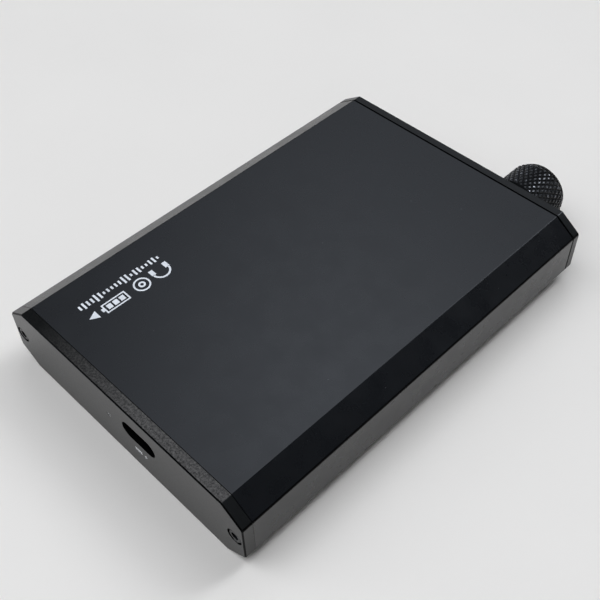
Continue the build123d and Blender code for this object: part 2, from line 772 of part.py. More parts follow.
# ---------------------------------------------------------------- writing the parts
def parts():
    """Every node's name and its solid, or the list of solids that share the node."""
    nodes = {
        "sleeve": sleeve(),
        "usb_end_plate": usb_end_plate(),
        "knob_end_plate": knob_end_plate(),
        "usb_end_screws": end_screws(-1),
        "knob_end_screws": end_screws(1),
        "display_glass": display_glass(),
        "display_module": display_module(),
        "display_foam": display_foam(),
        "display_cable": display_cable(),
        "inner_frame": inner_frame(),
        "button_board": button_board(),
        "button_switches": button_switches(),
        "button_cable": button_cable(),
        "power_button": power_button(),
        "power_switch_plunger": power_switch_plunger(),
        "power_switch": power_switch(),
        "volume_knob": volume_knob(),
        "knob_set_screw": knob_set_screw(),
        "volume_shaft": volume_shaft(),
        "volume_rotor": volume_rotor(),
        "volume_housing": volume_housing(),
        "volume_track": volume_track(),
        "bushing_washer": bushing_washer(),
        "bushing_nut": bushing_nut(),
        "headphone_jack": jack("headphone"),
        "line_out_jack": jack("line_out"),
        "jack_contacts": jack_contacts(),
        "jack_trim_rings": jack_trim_rings(),
        "memory_card": memory_card(),
        "card_socket": card_socket(),
        "usb_shell": usb_shell(),
        "usb_insert": usb_insert(),
        "light_pipe": light_pipe(),
        "battery": battery(),
        "battery_tape": battery_tape(),
        "protection_board": protection_board(),
        "battery_wires": battery_wires(),
        "battery_plug": battery_plug(),
        "battery_socket": battery_socket(),
        "main_board": main_board(),
        "shield_can": shield_can(),
    }
    for name in board_parts:
        nodes[name] = board_part(name)
    for name in front_buttons:
        nodes[f"{name}_button"] = front_button(name)
        nodes[f"{name}_switch_plunger"] = switch_plunger(name)
    return nodes


os.makedirs("parts", exist_ok=True)
for node, shape in parts().items():
    solids = Compound(children=shape) if isinstance(shape, list) else shape
    export_step(solids, f"parts/{node}.step")
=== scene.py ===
import json
import math

import bmesh
import bpy
from mathutils import Matrix, Vector


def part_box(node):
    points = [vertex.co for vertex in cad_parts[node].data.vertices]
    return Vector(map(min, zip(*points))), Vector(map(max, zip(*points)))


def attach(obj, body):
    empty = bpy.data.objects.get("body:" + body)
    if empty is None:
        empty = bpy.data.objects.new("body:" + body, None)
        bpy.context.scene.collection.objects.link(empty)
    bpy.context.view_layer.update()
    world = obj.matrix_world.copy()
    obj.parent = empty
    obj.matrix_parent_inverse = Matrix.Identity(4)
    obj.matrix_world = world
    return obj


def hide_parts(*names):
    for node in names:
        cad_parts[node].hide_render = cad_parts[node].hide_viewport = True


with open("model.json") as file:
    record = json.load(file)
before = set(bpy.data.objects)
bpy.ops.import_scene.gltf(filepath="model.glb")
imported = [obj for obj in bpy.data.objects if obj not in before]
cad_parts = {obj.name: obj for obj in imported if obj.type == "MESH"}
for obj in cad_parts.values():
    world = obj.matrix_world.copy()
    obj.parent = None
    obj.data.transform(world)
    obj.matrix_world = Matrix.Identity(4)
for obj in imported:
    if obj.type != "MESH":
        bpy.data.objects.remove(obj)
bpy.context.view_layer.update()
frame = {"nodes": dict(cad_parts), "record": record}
MM = 0.001

# ---------------------------------------------------------------- camera settings
camera_azimuth = math.radians(46.28)
camera_elevation = math.radians(48.59)
camera_roll = math.radians(-1.57)
camera_distance = 185.1 * MM
camera_aim = Vector((0.7, -2.0, 6.15)) * MM
camera_lens = 55.63            # millimetres, on a sensor 36 mm wide

# ---------------------------------------------------------------- studio light
daylight = (0.93, 1.0, 1.12)
backdrop = (0.74, 0.745, 0.75, 1)
fill = 0.042
ceiling = (-0.15, 0.2, 0.6)    # the middle of a patch of light, its full half width, and where it ends
left_side = (-0.85, 0.1, 0.35)
right_side = (0.85, 0.1, 0.3)
soft_lights = {                # name: (patch along X, patch along Y, strength)
    "ceiling_near": (ceiling, (-0.55, 0.03, 0.32), 1.55),
    "ceiling_middle": (ceiling, (-0.25, 0.03, 0.32), 3.48),
    "ceiling_far": (ceiling, (0.35, 0.03, 0.32), 1.45),
    "ceiling_end": (ceiling, (0.6, 0.03, 0.32), 0.55),
    "lamp": ((0.15, 0.05, 0.2), (0.68, 0.05, 0.2), 9.1),
    "window": (left_side, (-0.6, 0.1, 0.5), 1.60),
    "left_wall": (left_side, (-0.1, 0.1, 0.5), 0.14),
    "left_far_wall": (left_side, (0.5, 0.1, 0.5), 0.09),
    "right_near_wall": ((0.7, 0.15, 0.4), (-0.65, 0.15, 0.4), 0.30),
    "right_far_wall": (right_side, (0.6, 0.1, 0.5), 0.13),
}

floor_width = 3.0              # metres
floor_gap = 0.02               # millimetres below the player

# ---------------------------------------------------------------- knob settings
knurl_count = 36               # diamonds around the knob
knurl_rows = 9                 # half diamonds along it
knurl_depth = 0.21             # millimetres, as are all the knob's sizes
knurl_tip = 0.36               # half the width of a diamond's flat tip, in half diamonds
knurl_start = 0.45             # from the knob's base
knurl_end = 0.95               # from the knob's outer end
knurl_step = 0.05              # how far the plain rings beside the knurl lie below its grooves
knob_base_bevel = 0.25
knob_base_inset = 0.02         # how much thinner the base's plain ring is than the knurl
knob_base_step = 0.08          # from the plain ring down to the knurl's grooves, along the knob
knob_end_step = 0.15           # from the knurl's grooves up to the outer end's plain ring
knob_end_rounding = 0.1
knob_lip = 0.6                 # the width of the flat lip around the sunk end face
knob_lip_slope = 0.15
knob_dish = 0.12               # how far the end face is sunk
knob_centre_radius = 1.0       # the innermost ring of the end face
knob_recess_radius = 5.6
knob_recess_depth = 1.3
knob_recess_bevel = 0.1
knob_bore_radius = 3.0
knob_cap = 1.4                 # how much metal lies over the end of the bore
knob_chamfer = 0.85
knob_chamfer_length = 1.8
set_screw_radius = 1.25

# ---------------------------------------------------------------- printed marks
ink_thickness = 0.015
ink_overlap = 0.005            # how far a mark reaches into the surface below it


# ---------------------------------------------------------------- node helpers
usual_noise = (0.3, 0.7)       # where most values of a noise lie


class Graph:
    """A short way to build the linked nodes of a material or of the world."""

    def __init__(self, owner):
        owner.use_nodes = True
        self.tree = owner.node_tree
        self.tree.nodes.clear()

    def add(self, kind, inputs=None, **settings):
        node = self.tree.nodes.new(kind)
        for name, value in settings.items():
            setattr(node, name, value)
        for name, value in (inputs or {}).items():
            self.feed(node.inputs[name], value)
        return node

    def feed(self, socket, value):
        if isinstance(value, bpy.types.NodeSocket):
            self.tree.links.new(value, socket)
        else:
            socket.default_value = value

    def math(self, operation, first, second=0.0, third=0.0):
        node = self.add("ShaderNodeMath", {0: first, 1: second, 2: third}, operation=operation)
        return node.outputs[0]

    def times(self, first, second):
        return self.math("MULTIPLY", first, second)

    def vector(self, operation, first, second=(0, 0, 0), output="Vector"):
        node = self.add("ShaderNodeVectorMath", {0: first, 1: second}, operation=operation)
        return node.outputs[output]

    def scaled(self, colour, factor):
        node = self.add("ShaderNodeVectorMath", {0: colour, "Scale": factor}, operation="SCALE")
        return node.outputs[0]

    def axes(self, vector):
        """A vector's parts, as outputs X, Y and Z."""
        return self.add("ShaderNodeSeparateXYZ", {"Vector": vector}).outputs

    def remap(self, value, low, high, to_low=0.0, to_high=1.0, kind="LINEAR"):
        node = self.add("ShaderNodeMapRange", {
            "Value": value, "From Min": low, "From Max": high, "To Min": to_low, "To Max": to_high},
            interpolation_type=kind)
        return node.outputs["Result"]

    def fade(self, share, start, end):
        """A number that goes from start to end as share goes from 0 to 1."""
        return self.remap(share, 0.0, 1.0, start, end)

    def vary(self, noise, low, high):
        """A number that a noise carries back and forth between low and high."""
        return self.remap(noise, *usual_noise, low, high)

    def blend(self, factor, first, second):
        return self.add("ShaderNodeMix", {0: factor, 6: first, 7: second}, data_type="RGBA").outputs[2]

    def position(self):
        """Where a point is in the player, in metres. It stays with a piece that moves."""
        return self.add("ShaderNodeTexCoord").outputs["Object"]

    def facing(self):
        """The surface's direction, as outputs X, Y and Z."""
        return self.axes(self.add("ShaderNodeNewGeometry").outputs["Normal"])

    def noise(self, size_mm, detail=2.0, roughness=0.5, stretch=(1, 1, 1)):
        """Noise about size_mm across, made finer along an axis by the factor in stretch."""
        place = self.vector("MULTIPLY", self.position(), stretch)
        node = self.add("ShaderNodeTexNoise", {
            "Vector": place, "Scale": 1 / (size_mm * MM), "Detail": detail, "Roughness": roughness})
        return node.outputs["Fac"]

    def cells(self, size_mm):
        """The distance to the nearest of many scattered points about size_mm apart."""
        node = self.add("ShaderNodeTexVoronoi", {
            "Vector": self.position(), "Scale": 1 / (size_mm * MM)})
        return node.outputs["Distance"]

    def stripes(self, pitch_mm, direction, distortion=0.0):
        """Stripes pitch_mm apart. A wave texture of scale 1 repeats every pi / 10."""
        scale = math.pi / (10 * pitch_mm * MM)
        node = self.add("ShaderNodeTexWave", {
            "Vector": self.position(), "Scale": scale, "Distortion": distortion},
            bands_direction=direction)
        return node.outputs["Fac"]

    def mottled(self, colour, amount, size_mm):
        """A colour made lighter and darker by up to amount, in patches about size_mm across."""
        return self.scaled(colour, self.vary(self.noise(size_mm, 3.0), 1 - amount, 1 + amount))

    def band(self, value, low, high, soft=0.05):
        """1 where a value's size is from low to high, fading to 0 within soft outside them."""
        size = self.math("ABSOLUTE", value)
        return self.times(self.remap(size, low - soft, low), self.remap(size, high + soft, high))

    def patch(self, value, middle, full, end):
        """1 where a value is within full of the middle, fading smoothly to 0 at the distance end."""
        distance = self.math("ABSOLUTE", self.math("SUBTRACT", value, middle))
        return self.remap(distance, end, full, kind="SMOOTHSTEP")

    def edges(self, radius_mm):
        """1 on sharp edges, 0 where the surface is flat."""
        flat = self.add("ShaderNodeNewGeometry").outputs["Normal"]
        rounded = self.add("ShaderNodeBevel", {"Radius": radius_mm * MM}, samples=4).outputs[0]
        return self.remap(self.vector("DOT_PRODUCT", flat, rounded, "Value"), 0.99, 0.88)

    def surface(self, colour, roughness, height, depth_mm, **others):
        """The finished surface: its colour, roughness and relief, and any other inputs by name."""
        bump = self.add("ShaderNodeBump", {"Distance": depth_mm * MM, "Height": height}).outputs[0]
        inputs = {"Base Color": colour, "Roughness": roughness, "Normal": bump}
        inputs.update({name.replace("_", " "): value for name, value in others.items()})
        shader = self.add("ShaderNodeBsdfPrincipled", inputs)
        self.add("ShaderNodeOutputMaterial", {"Surface": shader.outputs[0]})


def new_material(name):
    material = bpy.data.materials.new(name)
    return material, Graph(material)


# ---------------------------------------------------------------- materials
bare_aluminium = (0.42, 0.42, 0.43, 1)
# Painted shade: edges that would show a dark reflection, or that lie in shade, are painted this black
# and given this weak reflection.
painted_edge_shade = (0.001, 0.001, 0.001, 1)
shaded_edge_gloss = 0.05
low_rounding = (0.20, 0.72)    # how far up or down the surface faces where a chamfer meets a side
high_rounding = (0.88, 0.97)   # and where it meets the front or the back
flat_face = (0.97, 1.0)
bevel_lean = (0.30, 0.90)      # how far along the player the bevels of its ends face

# Painted shade: the end plates' faces reflect less towards the display side, standing in for the darker
# floor they reflect near the bottom.
shaded_face_gloss = (0.15, 0.54)  # at the display side, and at the back
plate_edge_gloss = {"knob": 0.25, "charging": 0.05}
plate_rub = (-25.0, 6.0)       # across the player: where the rubbing starts, and where it is full
least_rub = 0.06
glass_side_border = 3.2        # between the glass's edge and the display's lit field
glass_end_border = 4.48
port_half_width = (5.0 * MM, 5.3 * MM)  # the port's wall is inside these, measured from its middle
port_half_height = (2.4 * MM, 2.7 * MM)


def blasted_metal(name, colour, roughness, wear):
    """Black anodised aluminium, blasted to a fine grain. Painted shade: the bends between chamfers and
    sides are painted black with a weak reflection, and the bends at the front and back reflect less.
    """
    material, graph = new_material(name)
    grain = graph.noise(0.28, 4.0, 0.65)
    scuffs = graph.remap(graph.noise(2.5, 5.0, 0.7), 0.55, 0.75)
    worn = graph.times(graph.edges(0.12), graph.times(scuffs, wear))
    tint = graph.blend(worn, graph.mottled(colour, 0.15, 16.0), bare_aluminium)
    dust = graph.remap(graph.cells(4.0), 0.026, 0.012)
    tint = graph.blend(graph.times(dust, 0.25), tint, bare_aluminium)
    upright = graph.facing()["Z"]
    # Painted shade: the bends between chamfers and sides are painted black, and they and the bends at
    # the front and back reflect less.
    rounded = graph.band(upright, *low_rounding)
    softened = graph.times(graph.band(upright, *high_rounding, soft=0.02), 0.8)
    gloss = graph.fade(graph.math("MAXIMUM", rounded, softened), 0.5, shaded_edge_gloss)
    shine = graph.vary(graph.noise(5.0, 4.0), roughness - 0.035, roughness + 0.035)
    graph.surface(graph.blend(rounded, tint, painted_edge_shade), shine, grain, 0.003, Specular_IOR_Level=gloss)
    return material


def port_wall(graph, place, facing):
    """1 on the wall of the charging port's opening, 0 elsewhere."""
    low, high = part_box("usb_shell")
    middle = (low + high) / 2
    across = graph.patch(place["X"], middle.x, *port_half_width)
    upright = graph.patch(place["Z"], middle.z, *port_half_height)
    sideways = graph.remap(graph.math("ABSOLUTE", facing["Y"]), 0.9, 0.8)
    return graph.times(graph.times(across, upright), sideways)


def machined_plate():
    """Black anodised end plates: smooth faces, a coarse speckled edge all round, and painted shade,
    with the bevels painted black.

    The edge of the charging end is rubbed paler towards the side that the knob is nearer to.
    Painted shade: the wall of the charging port and the bends between chamfers and sides are painted
    black, with little reflection.
    """
    material, graph = new_material("machined_plate")
    grain = graph.noise(0.32, 4.0, 0.7)
    fleck = graph.remap(graph.noise(0.42, 5.0, 0.8), 0.40, 0.64, 0.22, 1.0)
    place = graph.axes(graph.position())
    facing = graph.facing()
    wall = port_wall(graph, place, facing)
    edge = graph.times(graph.band(facing["Z"], *flat_face), graph.remap(wall, 1.0, 0.0))
    # Painted shade: the bevels, the bends by the chamfers and the port's wall are painted black and
    # reflect little.
    bevel = graph.band(facing["Y"], *bevel_lean)
    rounded = graph.band(facing["Z"], *low_rounding)
    shade_mask = graph.math("MAXIMUM", graph.math("MAXIMUM", bevel, rounded), wall)
    charging_end = graph.math("LESS_THAN", place["Y"], 0.0)
    rubbed = graph.times(charging_end, graph.remap(place["X"], *(limit * MM for limit in plate_rub)))
    rubbed = graph.math("MAXIMUM", rubbed, least_rub)
    speckle = graph.times(edge, graph.times(rubbed, fleck))
    base = graph.mottled((0.003, 0.0034, 0.0032), 0.15, 10.0)
    tint = graph.blend(speckle, base, (0.135, 0.126, 0.116, 1))
    low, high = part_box("usb_end_plate")
    # painted shade: the faces' reflection is weakened towards the bottom
    on_faces = graph.remap(place["Z"], low.z, high.z, *shaded_face_gloss)
    on_edges = graph.fade(charging_end, plate_edge_gloss["knob"], plate_edge_gloss["charging"])
    gloss = graph.times(graph.fade(edge, on_faces, on_edges), graph.fade(shade_mask, 1.0, 0.1))
    graph.surface(graph.blend(shade_mask, tint, painted_edge_shade), graph.vary(grain, 0.28, 0.34), grain, 0.004,
                  Specular_IOR_Level=gloss)
    return material


def knurled_metal():
    """The knob: black anodised, with its diamond tips polished here and there by fingers.

    Painted shade: the plain ring at its base, beside the shaded gap to the plate, and the bevel at its
    outer end are painted black, with little reflection.
    """
    material, graph = new_material("knurled_metal")
    low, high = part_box("volume_knob")
    offset = graph.vector("SUBTRACT", graph.position(), (low + high) / 2)
    across = graph.vector("MULTIPLY", offset, (1, 0, 1))
    reach = graph.vector("LENGTH", across, output="Value")
    radius = (high.x - low.x) / 2
    tip = graph.remap(reach, radius - 0.10 * MM, radius - 0.02 * MM)
    bare = graph.times(tip, graph.remap(graph.noise(0.9, 4.0, 0.7), 0.54, 0.64))
    tint = graph.blend(bare, graph.mottled((0.005, 0.005, 0.005), 0.2, 3.0), (0.26, 0.26, 0.27, 1))
    shine = graph.fade(tip, 0.40, 0.32)
    along = graph.axes(graph.position())["Y"]
    # Painted shade: the base ring and the end bevel are painted black.
    base = graph.math("LESS_THAN", along, low.y + knurl_start * MM)
    rim = graph.math("GREATER_THAN", along, high.y - knurl_end * MM)
    bevel = graph.times(rim, graph.band(graph.facing()["Y"], *bevel_lean))
    shade_mask = graph.math("MAXIMUM", bevel, base)
    gloss = graph.fade(shade_mask, graph.fade(tip, 0.16, 0.55), shaded_edge_gloss)
    graph.surface(graph.blend(shade_mask, tint, painted_edge_shade), shine, graph.noise(0.15, 4.0), 0.003,
                  Specular_IOR_Level=gloss, Metallic=graph.times(bare, 0.8))
    return material


def plain_metal(name, colour, roughness, brush=(1, 1, 1), wear=0.3):
    """Bare or oxidised metal, with fine marks that are finer along the axes in brush."""
    material, graph = new_material(name)
    marks = graph.noise(0.25, 4.0, 0.6, brush)
    tint = graph.blend(graph.times(graph.edges(0.08), wear),
                       graph.mottled(colour, 0.12, 2.0), (0.6, 0.6, 0.6, 1))
    shine = graph.vary(marks, roughness - 0.08, roughness + 0.08)
    graph.surface(tint, shine, marks, 0.002, Metallic=1.0)
    return material


def moulded(name, colour, roughness, grain_mm=0.35, depth_mm=0.004, **others):
    """Moulded plastic or rubber with a fine texture and slightly rubbed edges."""
    material, graph = new_material(name)
    grain = graph.noise(grain_mm, 4.0, 0.6)
    lighter = tuple(min(1.0, channel * 1.5 + 0.01) for channel in colour[:3]) + (1,)
    tint = graph.blend(graph.times(graph.edges(0.1), 0.35),
                       graph.mottled(colour, 0.10, 3.0), lighter)
    shine = graph.vary(graph.noise(1.5, 3.0), roughness - 0.05, roughness + 0.05)
    graph.surface(tint, shine, grain, depth_mm, **others)
    return material


def cover_glass():
    """Polished black glass; the display's active area shows as a slightly greyer field."""
    material, graph = new_material("cover_glass")
    low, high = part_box("display_glass")
    middle = (low + high) / 2
    offset = graph.axes(graph.vector("ABSOLUTE", graph.vector("SUBTRACT", graph.position(), middle)))
    inside_x = graph.math("LESS_THAN", offset["X"], (high.x - low.x) / 2 - glass_side_border * MM)
    inside_y = graph.math("LESS_THAN", offset["Y"], (high.y - low.y) / 2 - glass_end_border * MM)
    field = graph.times(inside_x, inside_y)
    smears = graph.noise(9.0, 4.0, 0.6, (1, 0.4, 1))
    tint = graph.blend(field, graph.mottled((0.004, 0.004, 0.005), 0.2, 5.0), (0.011, 0.012, 0.015, 1))
    shine = graph.remap(smears, 0.45, 0.7, 0.03, 0.14)
    graph.surface(tint, shine, smears, 0.0005,
                  Specular_IOR_Level=0.5, Coat_Weight=0.6, Coat_Roughness=0.02)
    return material


def display_panel():
    """The display module: a dark panel in a thin folded metal tray."""
    material, graph = new_material("display_panel")
    rows = graph.stripes(0.4, "Y")
    tint = graph.blend(graph.remap(rows, 0.3, 0.7), graph.mottled((0.015, 0.015, 0.02), 0.15, 8.0),
                       (0.03, 0.03, 0.038, 1))
    graph.surface(tint, graph.vary(graph.noise(4.0, 3.0), 0.18, 0.3), rows, 0.002)
    return material


def circuit_board():
    """Green solder mask over copper tracks, with small bare gold pads."""
    material, graph = new_material("circuit_board")
    tracks = graph.remap(graph.stripes(0.9, "DIAGONAL", 6.0), 0.62, 0.72)
    pads = graph.remap(graph.cells(1.6), 0.16, 0.12)
    mask = graph.blend(tracks, graph.mottled((0.006, 0.05, 0.022), 0.15, 6.0), (0.012, 0.10, 0.045, 1))
    tint = graph.blend(pads, mask, (0.75, 0.52, 0.20, 1))
    height = graph.math("ADD", graph.times(tracks, 0.5), pads)
    graph.surface(tint, graph.vary(graph.noise(2.0, 3.0), 0.28, 0.42), height, 0.02,
                  Metallic=graph.times(pads, 0.9))
    return material


def flat_cable():
    """Amber polyimide film over parallel copper tracks."""
    material, graph = new_material("flat_cable")
    tracks = graph.remap(graph.stripes(0.5, "X"), 0.4, 0.6)
    tint = graph.blend(tracks, graph.mottled((0.30, 0.12, 0.02), 0.15, 3.0), (0.55, 0.26, 0.07, 1))
    graph.surface(tint, graph.vary(graph.noise(1.0, 3.0), 0.25, 0.4), tracks, 0.01)
    return material


def foil_pouch():
    """The battery's aluminium laminate, softly dented."""
    material, graph = new_material("foil_pouch")
    dents = graph.noise(7.0, 4.0, 0.5)
    tint = graph.mottled((0.62, 0.63, 0.64), 0.08, 5.0)
    graph.surface(tint, graph.vary(graph.noise(0.6, 4.0), 0.3, 0.45), dents, 0.25, Metallic=0.85)
    return material


def cell_foam():
    """Closed-cell foam: small pits all over."""
    material, graph = new_material("cell_foam")
    pits = graph.cells(0.35)
    graph.surface(graph.mottled((0.02, 0.02, 0.02), 0.2, 2.0), graph.remap(pits, 0.0, 0.6, 0.95, 0.8),
                  pits, 0.12)
    return material


def all_finishes():
    """The material of each of the record's slots."""
    return {
        "shell": blasted_metal("blasted_shell", (0.0022, 0.0027, 0.0036), 0.28, 0.06),
        "plates": machined_plate(),
        "knob_metal": knurled_metal(),
        "black_steel": plain_metal("black_oxide_steel", (0.03, 0.03, 0.032), 0.38, wear=0.2),
        "bright_steel": plain_metal("bright_steel", (0.52, 0.52, 0.53), 0.30, (1, 12, 1)),
        "gold_brass": plain_metal("gold_flash", (0.78, 0.56, 0.24), 0.24, (6, 1, 6)),
        "cover_glass": cover_glass(),
        "display_panel": display_panel(),
        "foam": cell_foam(),
        "frame_plastic": moulded("frame_plastic", (0.03, 0.03, 0.032), 0.6),
        "button_caps": moulded("button_caps", (0.012, 0.012, 0.0125), 0.42, 0.2, 0.003),
        "switch_plastic": moulded("switch_plastic", (0.07, 0.07, 0.07), 0.5),
        "connector_plastic": moulded("connector_plastic", (0.008, 0.008, 0.008), 0.40, 0.6, 0.002,
                                     Specular_IOR_Level=0.25),
        "white_plastic": moulded("white_plastic", (0.80, 0.80, 0.79), 0.40, 0.5, 0.001),
        "clear_plastic": moulded("clear_plastic", (0.75, 0.78, 0.78), 0.25, 0.5, 0.002,
                                 Transmission_Weight=0.8, IOR=1.49),
        "circuit_board": circuit_board(),
        "chip_package": moulded("chip_package", (0.02, 0.02, 0.02), 0.5, 0.25),
        "flex": flat_cable(),
        "pouch": foil_pouch(),
        "tape": moulded("adhesive_tape", (0.62, 0.62, 0.58), 0.8, 0.3, 0.02),
        "wire_sleeve": moulded("wire_sleeve", (0.30, 0.02, 0.02), 0.45, 0.5, 0.004),
        "card_plastic": moulded("card_plastic", (0.015, 0.015, 0.017), 0.38, 0.3, 0.002),
    }


def assign_finishes(finishes):
    for part in frame["record"]["subparts"]:
        mesh = frame["nodes"][part["node"]].data
        mesh.materials.clear()
        mesh.materials.append(finishes[part["material_slot"]])


# ---------------------------------------------------------------- mesh helpers
def add_piece(name, mesh, body, slot):
    """Makes a visible piece from a bmesh, with its slot's finish, that moves with a body."""
    bmesh.ops.recalc_face_normals(mesh, faces=mesh.faces)
    data = bpy.data.meshes.new(name)
    mesh.to_mesh(data)
    mesh.free()
    data.materials.append(finishes[slot])
    piece = bpy.data.objects.new(name, data)
    bpy.context.scene.collection.objects.link(piece)
    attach(piece, body)
    return piece


def subtract(piece, cutter):
    """Cuts the cutter's shape out of a piece, and removes the cutter."""
    modifier = piece.modifiers.new("cut", "BOOLEAN")
    modifier.object = cutter
    modifier.solver = "EXACT"
    bpy.context.view_layer.update()
    evaluated = piece.evaluated_get(bpy.context.evaluated_depsgraph_get())
    result = bpy.data.meshes.new_from_object(evaluated)
    piece.modifiers.clear()
    piece.data = result
    bpy.data.objects.remove(cutter)


# ---------------------------------------------------------------- the knurled knob
class KnobMesh:
    """Rings of points about the knob's axis. Radii and lengths are in millimetres."""

    steps = 2 * knurl_count
    quarters = ((1, 0), (0, 1), (-1, 0), (0, -1))  # from a lattice point to its four neighbours

    def __init__(self):
        self.low, self.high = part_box("volume_knob")
        self.middle = (self.low + self.high) / 2
        self.radius = (self.high.x - self.low.x) / 2 / MM
        self.length = (self.high.y - self.low.y) / MM
        self.mesh = bmesh.new()

    def point(self, radius, step, along):
        """The point a number of steps around the axis and a length along from the base."""
        angle = 2 * math.pi * step / self.steps
        return self.mesh.verts.new((
            self.middle.x + radius * MM * math.sin(angle), self.low.y + along * MM,
            self.middle.z + radius * MM * math.cos(angle)))

    def ring(self, radius, along):
        return [self.point(radius, step, along) for step in range(self.steps)]

    def bridge(self, first, second):
        for step in range(self.steps):
            self.mesh.faces.new((first[step - 1], first[step], second[step], second[step - 1]))

    def lathe(self, profile):
        """Joins the rings of a profile of (radius, length) pairs, and returns them."""
        rings = [self.ring(radius, along) for radius, along in profile]
        for first, second in zip(rings, rings[1:]):
            self.bridge(first, second)
        return rings

    def surface(self, along):
        """The knob's radius, which shrinks evenly over the chamfer at its outer end."""
        return self.radius - knob_chamfer * max(0.0, 1 - (self.length - along) / knob_chamfer_length)

    def row_place(self, row):
        """How far along the knob a row of the knurl's lattice is."""
        return knurl_start + row * (self.length - knurl_start - knurl_end) / knurl_rows

    def knurl(self):
        """The diamonds. Odd lattice points are where grooves cross; even ones are flat tips."""
        crossings, tips = {}, {}
        for row in range(knurl_rows + 1):
            for step in range(self.steps):
                if (step + row) % 2:
                    place = self.row_place(row)
                    crossings[step, row] = self.point(self.surface(place) - knurl_depth, step, place)
                else:
                    self.add_tip(tips, step, row)
        self.diamond_faces(crossings, tips)
        return crossings, tips

    def add_tip(self, tips, step, row):
        """The corners of a diamond's flat tip, apart from any past the ends of the knurl."""
        for turn, rise in self.quarters:
            if 0 <= row + rise <= knurl_rows:
                place = self.row_place(row + rise * knurl_tip)
                corner = self.point(self.surface(place), step + turn * knurl_tip, place)
                tips[step, row, turn, rise] = corner

    def diamond_faces(self, crossings, tips):
        centres = {(step, row) for step, row, _, _ in tips}
        for step, row in sorted(centres):
            self.mesh.faces.new([tips[step, row, *q] for q in self.quarters if (step, row, *q) in tips])
            for first, second in zip(self.quarters, self.quarters[1:] + self.quarters[:1]):
                if (step, row, *first) in tips and (step, row, *second) in tips:
                    corners = [crossings[(step + turn) % self.steps, row + rise]
                               for turn, rise in (first, second)]
                    self.mesh.faces.new((corners[0], corners[1], tips[step, row, *second],
                                         tips[step, row, *first]))

    def close_knurl(self, crossings, tips, row, ring):
        """Fills the flat wall between one end of the knurl and a plain ring below its grooves."""
        for step in range(self.steps):
            if (step + row) % 2 == 0:
                before, after = (step - 1) % self.steps, (step + 1) % self.steps
                self.mesh.faces.new((
                    crossings[before, row], tips[step, row, -1, 0], tips[step, row, 1, 0],
                    crossings[after, row], ring[after], ring[step], ring[before]))


def knurled_knob():
    knob = KnobMesh()
    radius, length = knob.radius, knob.length
    plain = radius - knob_base_inset
    groove = radius - knurl_depth - knurl_step
    inner = knob.lathe([
        (knob_bore_radius, length - knob_cap),
        (knob_bore_radius, knob_recess_depth),
        (knob_recess_radius, knob_recess_depth),
        (knob_recess_radius, knob_recess_bevel),
        (knob_recess_radius + knob_recess_bevel, 0),
        (radius - knob_base_bevel, 0),
        (plain, knob_base_bevel),
        (plain, knurl_start - knob_base_step),
        (groove, knurl_start)])
    rim = length - knurl_end
    end = rim + knob_end_step
    rounding = length - knob_end_rounding
    lip = radius - knob_chamfer - knob_lip
    sunk = length - knob_dish
    outer = knob.lathe([
        (knob.surface(rim) - knurl_depth - knurl_step, rim),
        (knob.surface(end), end),
        (knob.surface(rounding), rounding),
        (radius - knob_chamfer - knob_end_rounding / 2, length),
        (lip, length),
        (lip - knob_lip_slope, sunk),
        (knob_centre_radius, sunk)])
    knob.mesh.faces.new(inner[0])
    knob.mesh.faces.new(outer[-1])
    crossings, tips = knob.knurl()
    knob.close_knurl(crossings, tips, 0, inner[-1])
    knob.close_knurl(crossings, tips, knurl_rows, outer[0])
    piece = add_piece("knurled_knob", knob.mesh, "volume_control", "knob_metal")
    cut_set_screw_hole(piece, knob)
    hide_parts("volume_knob")
    return knob


def cut_set_screw_hole(piece, knob):
    """The hole for the set screw runs from the knob's surface to its bore."""
    low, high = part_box("knob_set_screw")
    middle = (low + high) / 2
    mesh = bmesh.new()
    top = high.z - 0.1 * MM
    bottom = knob.low.z - 1 * MM
    bmesh.ops.create_cone(
        mesh, cap_ends=True, segments=48, radius1=set_screw_radius * MM, radius2=set_screw_radius * MM,
        depth=top - bottom, matrix=Matrix.Translation((middle.x, middle.y, (top + bottom) / 2)))
    data = bpy.data.meshes.new("hole")
    mesh.to_mesh(data)
    mesh.free()
    cutter = bpy.data.objects.new("hole", data)
    bpy.context.scene.collection.objects.link(cutter)
    subtract(piece, cutter)


# ---------------------------------------------------------------- flat marks
def bar(left, low, right, high):
    return [(left, low), (right, low), (right, high), (left, high)]


def arc(middle, outer, inner, start, end):
    """The outline of part of a ring, from start to end in degrees."""
    count = max(3, round((end - start) / 10))
    angles = [math.radians(start + (end - start) * i / count) for i in range(count + 1)]
    outside = [(middle[0] + outer * math.cos(a), middle[1] + outer * math.sin(a)) for a in angles]
    inside = [(middle[0] + inner * math.cos(a), middle[1] + inner * math.sin(a)) for a in angles]
    return outside + inside[::-1]


def ring(middle, outer, inner):
    return [arc(middle, outer, inner, 0, 180), arc(middle, outer, inner, 180, 360)]


def add_mark(name, outlines, origin, right, up, body):
    """Outlines drawn in millimetres along right and up from origin, as a thin layer of white ink."""
    right, up = Vector(right), Vector(up)
    normal = right.cross(up)
    mesh = bmesh.new()
    for outline in outlines:
        points = [Vector(origin) + (right * u + up * v) * MM for u, v in outline]
        low = [mesh.verts.new(p - normal * ink_overlap * MM) for p in points]
        high = [mesh.verts.new(p + normal * ink_thickness * MM) for p in points]
        mesh.faces.new(low)
        mesh.faces.new(high)
        for i in range(len(points)):
            mesh.faces.new((low[i - 1], low[i], high[i], high[i - 1]))
    add_piece(name, mesh, body, "white_plastic")


